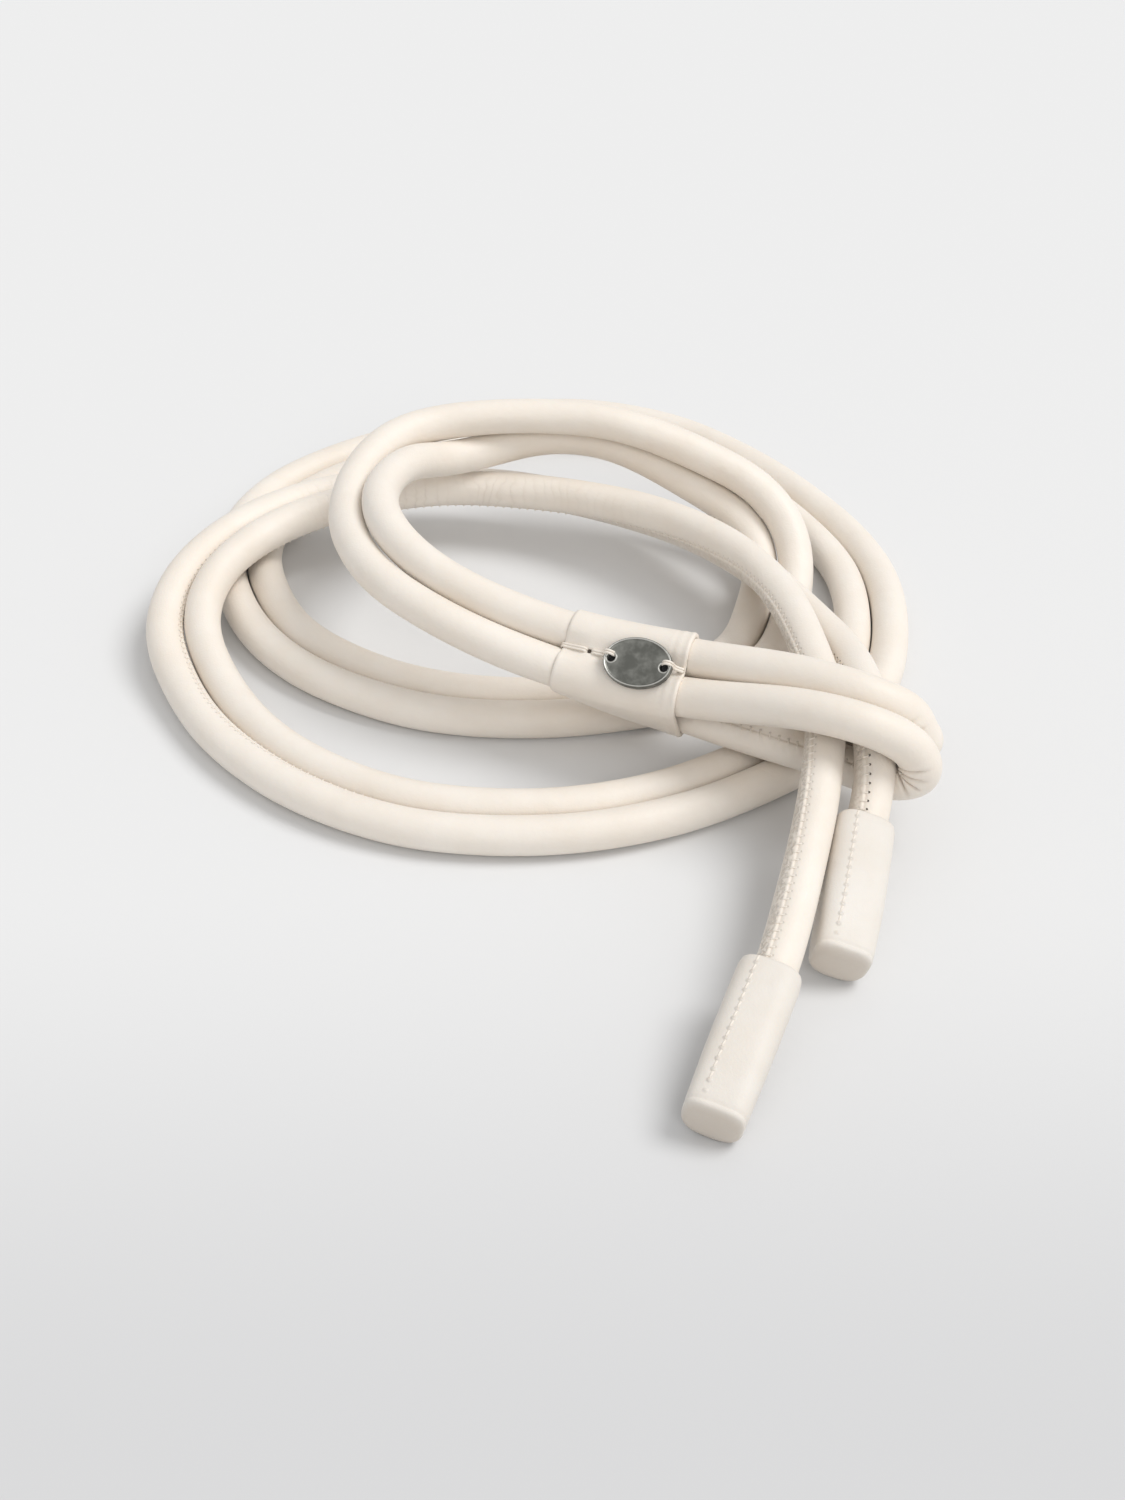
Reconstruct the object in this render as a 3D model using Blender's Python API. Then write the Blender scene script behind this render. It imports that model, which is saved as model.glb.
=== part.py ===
"""Rope belt of two round leather strands, laid in a flat coil with its end loop closed over the tails.

Sizes are in millimetres here and go into Blender in metres. +Z is up, +X is to the right of the
coil as a person in front of it sees it, and +Y points away from that person. The origin is on the
surface that the belt lies on, under the middle of the belt's bounding box.
"""

import math

import bmesh
import bpy
import numpy as np
from mathutils import Matrix, Vector

MM = 0.001

STRAND_DIAMETER = 9.0
STRAND_SIDES = 12
PAIR_SPACING = 9.4
CLEARANCE = 0.3
SLEEVE_CLEARANCE = 0.5

# Where the route's own origin goes, so that the bounding box is centred.
ROUTE_SHIFT = (-0.14, 4.26, 0.0)

# The line midway between the two strands, from the end inside the keeper to the start of the tails.
# across: plan direction from the left strand to the right strand. rise: slope of that line.
PAIR_COLUMNS = ("x", "y", "z", "across", "rise")
PAIR_ROUTE = (
    # under the keeper's upper pair, then on to the end loop
    (32.3, -20.4, 17.5, -120, -20),
    (47.5, -28.5, 16.3, -116, -10),
    (75.5, -40.5, 13.8, -118, -12),
    # the end loop's turn
    (84, -47.8, 17.2, -117, -20),
    (86.5, -49, 19.7, -101, -13),
    (86.1, -49.5, 22.4, -95, -7),
    (83.6, -49.9, 27.2, -97, -6),
    # back over the tails and through the keeper
    (77, -50, 32, -103, -4),
    (63.5, -45, 33.5, -112, -10),
    (39.5, -31.5, 28, -112, -33),
    (12, -19.5, 26.5, -115, -34),
    # the raised turn on the left
    (-16.5, -7, 31.5, -126, -21),
    (-31, 5, 34.5, -143, -26),
    (-38.5, 18.5, 36, -162, -32),
    (-40.5, 33, 36, 178, -25),
    (-37.5, 48.5, 35.5, 158, -6),
    # across the back, one strand above the other
    (-32, 60, 34, 142, 21),
    (-24.5, 68.5, 31.5, 126, 50),
    (-13.5, 74, 30.5, 120, 82),
    (2, 78, 30.5, -82, 67),
    (22, 76.5, 29, -78, 64),
    (44, 69.5, 22, -14, 69),
    (57, 62, 16.5, 7, 49),
    (62.5, 54, 11.5, 4, 30),
    (63.5, 44.5, 7.5, -4, 12),
    # on the surface, under the keeper and round the middle run
    (60.5, 28.5, 4.8, -15, 1),
    (53.5, 10.5, 4.6, -35, 0),
    (44.5, 1, 4.6, -53, 0),
    (28.5, -6, 4.6, -72, 0),
    (0.5, -10.5, 4.6, -90, 0),
    (-22, -8, 4.6, -106, 0),
    (-44.5, 2.5, 4.6, -124, 0),
    (-59.5, 16, 4.6, -141, 0),
    (-70.5, 36.5, 4.6, -160, 0),
    (-75, 56.5, 4.6, -178, 0),
    (-73, 73, 4.6, 163, 0),
    (-64.5, 90, 4.6, 143, 0),
    (-50, 103.5, 4.6, 126, 0),
    # the outermost run, round the back and down the right
    (-19.5, 120, 4.6, 113, 0),
    (1.5, 126.5, 4.6, 97, 0),
    (20, 125.5, 4.6, 78, 0),
    (37, 118.5, 4.6, 59, 0),
    (55, 102.5, 4.6, 42, 0),
    (75, 73.5, 4.6, 28, 0),
    (84.5, 50, 4.6, 12, 0),
    (85.5, 24.5, 4.6, -5, 0),
    (79.5, -1.5, 4.6, -22, 0),
    # under the end loop and along the front
    (69, -19.5, 4.6, -40, 0),
    (48.5, -37, 4.6, -57, 0),
    (24, -49, 4.6, -73, 0),
    (-2.5, -53, 4.6, -89, 0),
    (-25.5, -50, 4.6, -107, 0),
    (-47.5, -39.5, 4.6, -124, 0),
    (-66.5, -22, 4.6, -140, -1),
    # up over the middle run on the left
    (-80, 0, 6, -157, -3),
    (-85.5, 17, 9.5, -176, -6),
    (-84, 31.5, 12.5, 164, -9),
    (-76.5, 46.5, 14.5, 146, -8),
    (-62, 62.5, 14.5, 128, -7),
    (-44.5, 72.5, 14, 110, -12),
    # the raised inner run that crosses to the tails
    (-24, 76, 14, 92, -22),
    (0, 73, 14, 75, -31),
    (23.5, 63, 15, 56, -40),
    (43, 47, 17, 37, -46),
)

# The tails, over the end loop's lower pair and under its upper pair, to their ends inside the tips.
TAIL_COLUMNS = ("x", "y", "z")
RIGHT_TAIL = (
    (57, 33, 15),
    (65.5, 15, 16.5),
    (72, -3.5, 19.5),
    (75.5, -22.5, 23),
    (76.2, -42, 23.6),
    (75.8, -54.5, 19),
    (72.8, -66.9, 12.9),
    (70.5, -77.5, 11),
    (68.2, -88, 9.15),
)
LEFT_TAIL = (
    (52.5, 28, 22.5),
    (60.5, 8.5, 24),
    (64.5, -11.5, 24.5),
    (66.5, -32.5, 24),
    (64.6, -53, 21.2),
    (60.2, -73.4, 17.5),
    (54.9, -93.4, 14.3),
    (49.3, -111.3, 11.9),
    (45.5, -120.9, 10.15),
    (41.5, -131, 8.3),
)

# The keeper: where its two end planes cross the upper pair, and its leather.
KEEPER_LEFT_END = (8.7, -18.0)
KEEPER_RIGHT_END = (35.7, -29.8)
KEEPER_WALL = 1.0
# How far the right end's plane leans, in degrees, so that its top is further right than its foot.
KEEPER_LEAN = 12.0
# How deep the leather dips between the two upper strands.
KEEPER_VALLEY = 1.4
VALLEY_POINTS = 5
KEEPER_SECTIONS = 14
KEEPER_ANGLES = 40

# The oval badge on the keeper's upper face.
BADGE_LENGTH = 16.2
BADGE_WIDTH = 11.8
BADGE_THICKNESS = 1.6
BADGE_CLEARANCE = 0.45
BADGE_ALONG_KEEPER = 0.67
# How far the badge sits off the middle, towards the right strand.
BADGE_ASIDE = 0.9
BADGE_HOLE_DIAMETER = 1.8
BADGE_HOLE_SPACING = 12.6

# The leather tips: share of the length, width, height, and how square the section's corners are.
TIP_LENGTH = 36.0
TIP_CAVITY_DEPTH = 23.5
# The tips stand out further on their sewn left side.
TIP_OFFSET = 0.8
# How far each tip is turned about its own length, in degrees: its left side is the higher one.
TIP_ROLLS = {"left_tip": 9.0, "right_tip": 18.0}
TIP_COLUMNS = ("share", "width", "height", "squareness")
TIP_SECTIONS = (
    (0.0, 12.7, 11.8, 3.0),
    (0.03, 13.2, 12.1, 3.2),
    (0.2, 13.4, 12.1, 3.2),
    (0.45, 13.3, 12.0, 3.2),
    (0.65, 13.1, 11.8, 3.4),
    (0.85, 12.7, 10.8, 3.6),
    (0.95, 12.5, 10.0, 3.6),
    (0.985, 12.1, 9.4, 3.4),
    (1.0, 11.0, 8.4, 3.0),
)
TIP_ANGLES = 36


def clear_scene():
    for item in list(bpy.data.objects):
        bpy.data.objects.remove(item, do_unlink=True)


def unit(vector):
    return vector / np.linalg.norm(vector)


def across_direction(row):
    """The unit vector from the left strand to the right strand at one row of the pair's route."""
    across = math.radians(row[3])
    rise = math.radians(row[4])
    flat = math.cos(rise)
    return np.array([flat * math.cos(across), flat * math.sin(across), math.sin(rise)])


def shifted(points):
    return np.array(points, float) + np.array(ROUTE_SHIFT)


def strand_route(side, tail):
    """The hand-chosen points of one strand: side is 1 for the right strand and -1 for the left."""
    points = []
    for row in PAIR_ROUTE:
        points.append(np.array(row[:3], float) + side * PAIR_SPACING / 2 * across_direction(row))
    points.extend(np.array(row, float) for row in tail)
    return shifted(points)


class Smooth:
    """A natural cubic spline through points, by distance along them."""

    def __init__(self, points):
        self.points = np.array(points, float)
        steps = np.linalg.norm(np.diff(self.points, axis=0), axis=1)
        self.at = np.concatenate([[0.0], np.cumsum(steps)])
        count = len(self.points)
        matrix = np.eye(count)
        right = np.zeros((count, 3))
        for i in range(1, count - 1):
            before = steps[i - 1]
            after = steps[i]
            matrix[i, i - 1] = before
            matrix[i, i] = 2 * (before + after)
            matrix[i, i + 1] = after
            rise_after = (self.points[i + 1] - self.points[i]) / after
            rise_before = (self.points[i] - self.points[i - 1]) / before
            right[i] = 6 * (rise_after - rise_before)
        self.bend = np.linalg.solve(matrix, right)
        self.length = self.at[-1]

    def __call__(self, distances):
        distances = np.atleast_1d(distances)
        i = np.clip(np.searchsorted(self.at, distances) - 1, 0, len(self.at) - 2)
        step = (self.at[i + 1] - self.at[i])[:, None]
        after = (distances - self.at[i])[:, None]
        before = step - after
        m0 = self.bend[i]
        m1 = self.bend[i + 1]
        p0 = self.points[i]
        p1 = self.points[i + 1]
        cubic = (m0 * before**3 + m1 * after**3) / (6 * step)
        return cubic + (p0 / step - m0 * step / 6) * before + (p1 / step - m1 * step / 6) * after


def spread_points(curve, longest_step, turn_step):
    """Points along a curve, closer together where it turns more."""
    fine = curve(np.linspace(0, curve.length, 3000))
    steps = np.diff(fine, axis=0)
    lengths = np.linalg.norm(steps, axis=1)
    directions = steps / lengths[:, None]
    turns = np.arccos(np.clip((directions[1:] * directions[:-1]).sum(axis=1), -1, 1))
    effort = lengths / longest_step
    effort[1:] += np.degrees(turns) / turn_step
    total = np.concatenate([[0.0], np.cumsum(effort)])
    wanted = np.linspace(0, total[-1], int(math.ceil(total[-1])) + 1)
    return np.stack([np.interp(wanted, total, fine[:, k]) for k in range(3)], axis=1)


def add_mesh(name, points, faces):
    mesh = bpy.data.meshes.new(name)
    mesh.from_pydata([tuple(p * MM) for p in np.asarray(points)], [], faces)
    shape = bmesh.new()
    shape.from_mesh(mesh)
    bmesh.ops.recalc_face_normals(shape, faces=shape.faces)
    if shape.calc_volume(signed=True) < 0:
        bmesh.ops.reverse_faces(shape, faces=shape.faces)
    shape.to_mesh(mesh)
    shape.free()
    made = bpy.data.objects.new(name, mesh)
    bpy.context.scene.collection.objects.link(made)
    return made


def ring_faces(first, second, count):
    """The quads between two rings of vertices that start at these indices."""
    faces = []
    for k in range(count):
        after = (k + 1) % count
        faces.append((first + k, first + after, second + after, second + k))
    return faces


def strand(name, route):
    """A round strand along a route, its rings carried along without twist."""
    centres = spread_points(Smooth(route), 22.0, 24.0)
    directions = np.gradient(centres, axis=0)
    directions = directions / np.linalg.norm(directions, axis=1)[:, None]
    side = unit(np.cross(directions[0], (0.0, 0.0, 1.0)))
    angles = np.arange(STRAND_SIDES) * 2 * math.pi / STRAND_SIDES
    points = []
    for centre, direction in zip(centres, directions):
        side = unit(side - direction * side.dot(direction))
        up = np.cross(direction, side)
        for angle in angles:
            out = math.cos(angle) * side + math.sin(angle) * up
            points.append(centre + STRAND_DIAMETER / 2 * out)
    faces = []
    for i in range(len(centres) - 1):
        faces.extend(ring_faces(i * STRAND_SIDES, (i + 1) * STRAND_SIDES, STRAND_SIDES))
    last = (len(centres) - 1) * STRAND_SIDES
    faces.append(tuple(range(STRAND_SIDES)))
    faces.append(tuple(range(last, last + STRAND_SIDES)))
    return add_mesh(name, points, faces)


def upward(vector):
    """The unit vector along a direction, taken so that it points up."""
    return unit(vector) * math.copysign(1.0, vector[2])


def crossing(fine, place, direction, reach):
    """Where a finely sampled line crosses a plane, near a place, or None."""
    ahead = (fine - place) @ direction
    for i in np.flatnonzero(ahead[:-1] * ahead[1:] <= 0):
        if np.linalg.norm(fine[i] - place) < reach:
            share = ahead[i] / (ahead[i] - ahead[i + 1])
            return fine[i] + share * (fine[i + 1] - fine[i])
    return None


def keeper_frames(left_route, right_route):
    """Sections of the keeper: (centre, direction, across, out, strand places in the section)."""
    curves = [Smooth(left_route), Smooth(right_route)]
    # The rows of the route that run through the keeper's upper layer.
    upper = slice(7, 13)
    lower_rows = 4
    uppers = []
    lowers = []
    for curve in curves:
        ends = curve.at[upper.start], curve.at[upper.stop - 1]
        uppers.append(curve(np.linspace(ends[0], ends[1], 900)))
        lowers.append(curve(np.linspace(0, curve.at[lower_rows - 1], 500)))
    middle = (uppers[0] + uppers[1]) / 2
    ends = []
    for end in (KEEPER_LEFT_END, KEEPER_RIGHT_END):
        place = shifted([(end[0], end[1], 0.0)])[0][:2]
        ends.append(np.linalg.norm(middle[:, :2] - place, axis=1).argmin())
    frames = []
    for share in np.linspace(0, 1, KEEPER_SECTIONS):
        i = int(round(ends[0] + share * (ends[1] - ends[0])))
        centre = middle[i]
        direction = unit(middle[i - 12] - middle[i + 12])
        tops = [crossing(line, centre, direction, 15.0) for line in uppers]
        out = upward(np.cross(tops[1] - tops[0], direction))
        lean = math.radians(KEEPER_LEAN) * share
        normal = math.cos(lean) * direction - math.sin(lean) * out
        tops = [crossing(line, centre, normal, 15.0) for line in uppers]
        across = unit(tops[1] - tops[0])
        out = upward(np.cross(across, normal))
        bottoms = [crossing(line, centre, normal, 25.0) for line in lowers]
        frames.append([centre, direction, across, out, tops, bottoms])
    # Towards the left end the sleeve closes down from four strands to the upper two.
    first_full = min(i for i, f in enumerate(frames) if all(b is not None for b in f[5]))
    for i in range(first_full):
        kept = min(1.0, i / (first_full - 1))
        source = frames[first_full]
        for k in range(2):
            drop = source[5][k] - source[4][k]
            frames[i][5][k] = frames[i][4][k] + kept * drop
    return frames


def keeper_ring(frame, radius):
    """The outline round the strands of one section, with a valley between the upper two."""
    centre, direction, across, out, tops, bottoms = frame
    circles = np.array([[(p - centre).dot(across), (p - centre).dot(out)] for p in tops + bottoms])
    places = []
    for k in range(KEEPER_ANGLES):
        angle = 2 * math.pi * (k + 0.5) / KEEPER_ANGLES
        normal = np.array([math.cos(angle), math.sin(angle)])
        furthest = circles[(circles @ normal).argmax()]
        place = furthest + radius * normal
        # Straight up is a quarter of the way round, between the two upper strands.
        if k == KEEPER_ANGLES // 4:
            before = places[-1]
            for j in range(VALLEY_POINTS):
                share = (j + 1) / (VALLEY_POINTS + 1)
                dip = KEEPER_VALLEY * math.sin(math.pi * share) ** 4
                places.append(before + share * (place - before) - np.array([0.0, dip]))
        places.append(place)
    return [centre + x * across + z * out for x, z in places]


def keeper(frames):
    """The leather sleeve: an outer and an inner skin joined at both ends."""
    inner_radius = STRAND_DIAMETER / 2 + SLEEVE_CLEARANCE
    outer_radius = inner_radius + KEEPER_WALL
    points = []
    for frame in frames:
        points.extend(keeper_ring(frame, outer_radius))
    for frame in frames:
        points.extend(keeper_ring(frame, inner_radius))
    count = KEEPER_ANGLES + VALLEY_POINTS
    inner_start = len(frames) * count
    faces = []
    for i in range(len(frames) - 1):
        faces.extend(ring_faces(i * count, (i + 1) * count, count))
        inner = inner_start + i * count
        faces.extend(f[::-1] for f in ring_faces(inner, inner + count, count))
    last = (len(frames) - 1) * count
    faces.extend(f[::-1] for f in ring_faces(0, inner_start, count))
    faces.extend(ring_faces(last, inner_start + last, count))
    return add_mesh("keeper", points, faces)


def badge(frames):
    """The oval plate with its two sewing holes, just clear of the keeper's upper face."""
    at = BADGE_ALONG_KEEPER * (len(frames) - 1)
    i = int(at)
    centre, direction, across, out, tops, bottoms = frames[i]
    further = frames[i + 1][0]
    centre = centre + (at - i) * (further - centre)
    out = upward(np.cross(across, direction))
    lift = STRAND_DIAMETER / 2 + SLEEVE_CLEARANCE + KEEPER_WALL + BADGE_CLEARANCE + BADGE_THICKNESS / 2
    shape = bpy.data.curves.new("badge", "CURVE")
    shape.dimensions = "2D"
    shape.fill_mode = "BOTH"
    shape.extrude = (BADGE_THICKNESS / 2 - 0.2) * MM
    shape.bevel_depth = 0.2 * MM
    shape.bevel_resolution = 0
    outlines = [(0.0, BADGE_LENGTH / 2 - 0.2, BADGE_WIDTH / 2 - 0.2, 40)]
    for side in (-1, 1):
        radius = BADGE_HOLE_DIAMETER / 2 + 0.2
        outlines.append((side * BADGE_HOLE_SPACING / 2, radius, radius, 14))
    for middle, long, short, count in outlines:
        spline = shape.splines.new("POLY")
        spline.points.add(count - 1)
        for k in range(count):
            angle = 2 * math.pi * k / count
            x = middle + long * math.cos(angle)
            y = short * math.sin(angle)
            spline.points[k].co = (x * MM, y * MM, 0.0, 1.0)
        spline.use_cyclic_u = True
    made = bpy.data.objects.new("badge", shape)
    bpy.context.scene.collection.objects.link(made)
    place = (centre + lift * out + BADGE_ASIDE * across) * MM
    width = np.cross(out, direction)
    axes = Matrix((direction, width, out)).transposed()
    made.matrix_world = Matrix.LocRotScale(Vector(place), axes, None)
    return made


def rounded_section(width, height, squareness, angle):
    """A point of a rounded section that is flatter on top than underneath."""
    cosine = math.cos(angle)
    sine = math.sin(angle)
    power = 2 / squareness if sine > 0 else 2 / (squareness - 0.5)
    x = math.copysign(abs(cosine) ** power, cosine) * width / 2
    z = math.copysign(abs(sine) ** power, sine) * height / 2
    return x, z


def tip(name, route, tail):
    """A leather tip round the last stretch of a strand, hollow where the strand is."""
    end = shifted([tail[-1]])[0]
    before = shifted([tail[-2]])[0]
    direction = unit(end - before)
    start = end - direction * (TIP_CAVITY_DEPTH - CLEARANCE)
    flat = unit(np.cross(direction, (0.0, 0.0, 1.0)))
    roll = math.radians(TIP_ROLLS[name])
    side = math.cos(roll) * flat + math.sin(roll) * np.cross(flat, direction)
    up = np.cross(side, direction)
    count = TIP_ANGLES
    angles = [2 * math.pi * k / count for k in range(count)]
    points = []
    bottom = -TIP_SECTIONS[2][2] / 2
    for share, width, height, squareness in TIP_SECTIONS:
        centre = start + direction * share * TIP_LENGTH
        for angle in angles:
            x, z = rounded_section(width, height, squareness, angle)
            points.append(centre + (x + TIP_OFFSET) * side + (z + bottom + height / 2) * up)
    outer_rings = len(TIP_SECTIONS)
    radius = STRAND_DIAMETER / 2 + SLEEVE_CLEARANCE
    depths = (0.0, 0.15, 0.3, 0.5, 0.75, 1.0)
    curve = Smooth(route)
    for depth in depths:
        distance = curve.length - (1 - depth) * (TIP_CAVITY_DEPTH - CLEARANCE)
        centre = curve(distance)[0] if depth < 1.0 else end + direction * CLEARANCE
        for angle in angles:
            out = math.cos(angle) * side + math.sin(angle) * up
            points.append(centre + radius * out)
    faces = []
    for i in range(outer_rings - 1):
        faces.extend(ring_faces(i * count, (i + 1) * count, count))
    inner_start = outer_rings * count
    for i in range(len(depths) - 1):
        inner = inner_start + i * count
        faces.extend(f[::-1] for f in ring_faces(inner, inner + count, count))
    faces.extend(f[::-1] for f in ring_faces(0, inner_start, count))
    last_outer = (outer_rings - 1) * count
    last_inner = inner_start + (len(depths) - 1) * count
    faces.append(tuple(range(last_outer, last_outer + count)))
    faces.append(tuple(range(last_inner + count - 1, last_inner - 1, -1)))
    return add_mesh(name, points, faces)


def main():
    clear_scene()
    left_route = strand_route(-1, LEFT_TAIL)
    right_route = strand_route(1, RIGHT_TAIL)
    strand("left_strand", left_route)
    strand("right_strand", right_route)
    frames = keeper_frames(left_route, right_route)
    keeper(frames)
    badge(frames)
    tip("left_tip", left_route, LEFT_TAIL)
    tip("right_tip", right_route, RIGHT_TAIL)


main()
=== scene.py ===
"""Looks of the rope belt: leather, seams, stitches, keeper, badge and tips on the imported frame.

Tables and shapes are in millimetres and go into Blender in metres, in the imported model's frame:
+Z is up, +X is to the right and +Y points away from a person in front of the coil.
"""

import math

import bpy
import numpy as np
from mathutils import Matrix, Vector

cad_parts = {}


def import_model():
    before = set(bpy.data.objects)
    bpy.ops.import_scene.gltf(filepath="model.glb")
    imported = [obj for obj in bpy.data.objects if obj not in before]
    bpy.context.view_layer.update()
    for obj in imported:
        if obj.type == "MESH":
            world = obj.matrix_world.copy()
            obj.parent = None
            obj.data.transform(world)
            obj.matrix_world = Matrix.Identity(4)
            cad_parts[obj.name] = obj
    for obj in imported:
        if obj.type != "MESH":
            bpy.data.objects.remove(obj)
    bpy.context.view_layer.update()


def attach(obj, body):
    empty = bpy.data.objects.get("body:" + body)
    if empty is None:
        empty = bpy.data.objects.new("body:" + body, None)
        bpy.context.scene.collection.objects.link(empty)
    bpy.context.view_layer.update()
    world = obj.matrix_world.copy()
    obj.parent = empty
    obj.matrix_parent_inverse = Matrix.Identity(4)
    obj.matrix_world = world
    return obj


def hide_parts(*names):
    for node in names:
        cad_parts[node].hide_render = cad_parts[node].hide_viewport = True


MM = 0.001

STRAND_DIAMETER = 9.0
STRAND_RADIUS = STRAND_DIAMETER / 2
PAIR_SPACING = 9.4
ROUTE_SHIFT = (-0.14, 4.26, 0.0)

# The line midway between the two strands, as in the model's source: x, y, z, across, rise.
# across: plan direction from the left strand to the right strand. rise: slope of that line.
PAIR_ROUTE = (
    # under the keeper's upper pair, then on to the end loop
    (32.3, -20.4, 17.5, -120, -20),
    (47.5, -28.5, 16.3, -116, -10),
    (75.5, -40.5, 13.8, -118, -12),
    # the end loop's turn
    (84, -47.8, 17.2, -117, -20),
    (86.5, -49, 19.7, -101, -13),
    (86.1, -49.5, 22.4, -95, -7),
    (83.6, -49.9, 27.2, -97, -6),
    # back over the tails and through the keeper
    (77, -50, 32, -103, -4),
    (63.5, -45, 33.5, -112, -10),
    (39.5, -31.5, 28, -112, -33),
    (12, -19.5, 26.5, -115, -34),
    # the raised turn on the left
    (-16.5, -7, 31.5, -126, -21),
    (-31, 5, 34.5, -143, -26),
    (-38.5, 18.5, 36, -162, -32),
    (-40.5, 33, 36, 178, -25),
    (-37.5, 48.5, 35.5, 158, -6),
    # across the back, one strand above the other
    (-32, 60, 34, 142, 21),
    (-24.5, 68.5, 31.5, 126, 50),
    (-13.5, 74, 30.5, 120, 82),
    (2, 78, 30.5, -82, 67),
    (22, 76.5, 29, -78, 64),
    (44, 69.5, 22, -14, 69),
    (57, 62, 16.5, 7, 49),
    (62.5, 54, 11.5, 4, 30),
    (63.5, 44.5, 7.5, -4, 12),
    # on the surface, under the keeper and round the middle run
    (60.5, 28.5, 4.8, -15, 1),
    (53.5, 10.5, 4.6, -35, 0),
    (44.5, 1, 4.6, -53, 0),
    (28.5, -6, 4.6, -72, 0),
    (0.5, -10.5, 4.6, -90, 0),
    (-22, -8, 4.6, -106, 0),
    (-44.5, 2.5, 4.6, -124, 0),
    (-59.5, 16, 4.6, -141, 0),
    (-70.5, 36.5, 4.6, -160, 0),
    (-75, 56.5, 4.6, -178, 0),
    (-73, 73, 4.6, 163, 0),
    (-64.5, 90, 4.6, 143, 0),
    (-50, 103.5, 4.6, 126, 0),
    # the outermost run, round the back and down the right
    (-19.5, 120, 4.6, 113, 0),
    (1.5, 126.5, 4.6, 97, 0),
    (20, 125.5, 4.6, 78, 0),
    (37, 118.5, 4.6, 59, 0),
    (55, 102.5, 4.6, 42, 0),
    (75, 73.5, 4.6, 28, 0),
    (84.5, 50, 4.6, 12, 0),
    (85.5, 24.5, 4.6, -5, 0),
    (79.5, -1.5, 4.6, -22, 0),
    # under the end loop and along the front
    (69, -19.5, 4.6, -40, 0),
    (48.5, -37, 4.6, -57, 0),
    (24, -49, 4.6, -73, 0),
    (-2.5, -53, 4.6, -89, 0),
    (-25.5, -50, 4.6, -107, 0),
    (-47.5, -39.5, 4.6, -124, 0),
    (-66.5, -22, 4.6, -140, -1),
    # up over the middle run on the left
    (-80, 0, 6, -157, -3),
    (-85.5, 17, 9.5, -176, -6),
    (-84, 31.5, 12.5, 164, -9),
    (-76.5, 46.5, 14.5, 146, -8),
    (-62, 62.5, 14.5, 128, -7),
    (-44.5, 72.5, 14, 110, -12),
    # the raised inner run that crosses to the tails
    (-24, 76, 14, 92, -22),
    (0, 73, 14, 75, -31),
    (23.5, 63, 15, 56, -40),
    (43, 47, 17, 37, -46),
)

# The tails, over the end loop's lower pair and under its upper pair, to their ends inside the tips:
# x, y, z.
RIGHT_TAIL = (
    (57, 33, 15),
    (65.5, 15, 16.5),
    (72, -3.5, 19.5),
    (75.5, -22.5, 23),
    (76.2, -42, 23.6),
    (75.8, -54.5, 19),
    (72.8, -66.9, 12.9),
    (70.5, -77.5, 11),
    (68.2, -88, 9.15),
)
LEFT_TAIL = (
    (52.5, 28, 22.5),
    (60.5, 8.5, 24),
    (64.5, -11.5, 24.5),
    (66.5, -32.5, 24),
    (64.6, -53, 21.2),
    (60.2, -73.4, 17.5),
    (54.9, -93.4, 14.3),
    (49.3, -111.3, 11.9),
    (45.5, -120.9, 10.15),
    (41.5, -131, 8.3),
)

# Where the seam runs on each strand: distance from the strand's start, and angle round it.
LEFT_SEAM = (
    (0, 330),
    (60, 322),
    (300, 316),
    (800, 316),
    (1000, 300),
    (1120, 300),
    (1180, 288),
    (1205, 255),
    (1225, 228),
    (1245, 208),
    (1260, 201),
    (1300, 181),
    (1335, 164),
    (1360, 163),
    (1390, 165),
)
RIGHT_SEAM = (
    (0, 306),
    (60, 309),
    (300, 314),
    (830, 312),
    (950, 285),
    (1060, 225),
    (1105, 196),
    (1128, 190),
    (1140, 204),
    (1160, 224),
    (1214, 218),
    (1300, 240),
    (1400, 235),
    (1447, 180),
    (1462, 165),
    (1490, 162),
)
# The seam's angle is averaged over this many rings on each side.
SEAM_SMOOTHING = 5
# Along each strand: distance, how strongly the stitch holes show, with the painted shade in them, and
# how rough the lapped side is.
LEFT_SEWN = (
    (0, 0.4, 0.0),
    (60, 0.12, 0.0),
    (1180, 0.1, 0.1),
    (1250, 0.2, 1.0),
    (1390, 0.15, 1.0),
)
RIGHT_SEWN = (
    (0, 0.4, 0.0),
    (60, 0.12, 0.0),
    (1395, 0.3, 0.2),
    (1430, 1.0, 0.4),
    (1490, 1.0, 0.4),
)
# Rows of the route where the back run's wrinkles begin, are full, are full still, and end.
WRINKLED_ROWS = (58, 59, 61, 63)

# A strand's line is sampled finely first. Then a ring follows after this many mm, or sooner where
# the line turns by this many degrees.
LINE_SAMPLES = 12000
RING_STEP = 1.0
RING_TURN = 2.4
# Places round a ring: close together near the seam, in mm off it, and this many on the rest.
NEAR_SEAM = (-1.7, -1.2, -0.8, -0.5, -0.25, -0.05, 0.12, 0.3, 0.6, 1.0, 1.5, 2.1)
STRAND_SEGMENTS = 26
# The leather's edge that laps over the seam: height, and how far it fades out.
LAP_HEIGHT = 0.22
LAP_FADE = 3.0
GROOVE_DEPTH = 0.14
GROOVE_WIDTH = 0.28
# Folds on the inner side of a sharp bend, and the finer wrinkles, are as far apart as this.
FOLD_SPACING = 2.7
FOLD_DEPTH = 1.15

STITCH_PITCH = 2.2
# How far along the strand a stitch runs for each mm across it.
STITCH_SLANT = 0.28
# A seam stitch: places across the seam, and heights over the skin.
STITCH_OFFS = (-0.62, -0.45, -0.1, 0.35, 0.72, 0.85)
STITCH_LIFTS = (-0.25, 0.02, 0.1, 0.06, -0.02, -0.25)
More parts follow.
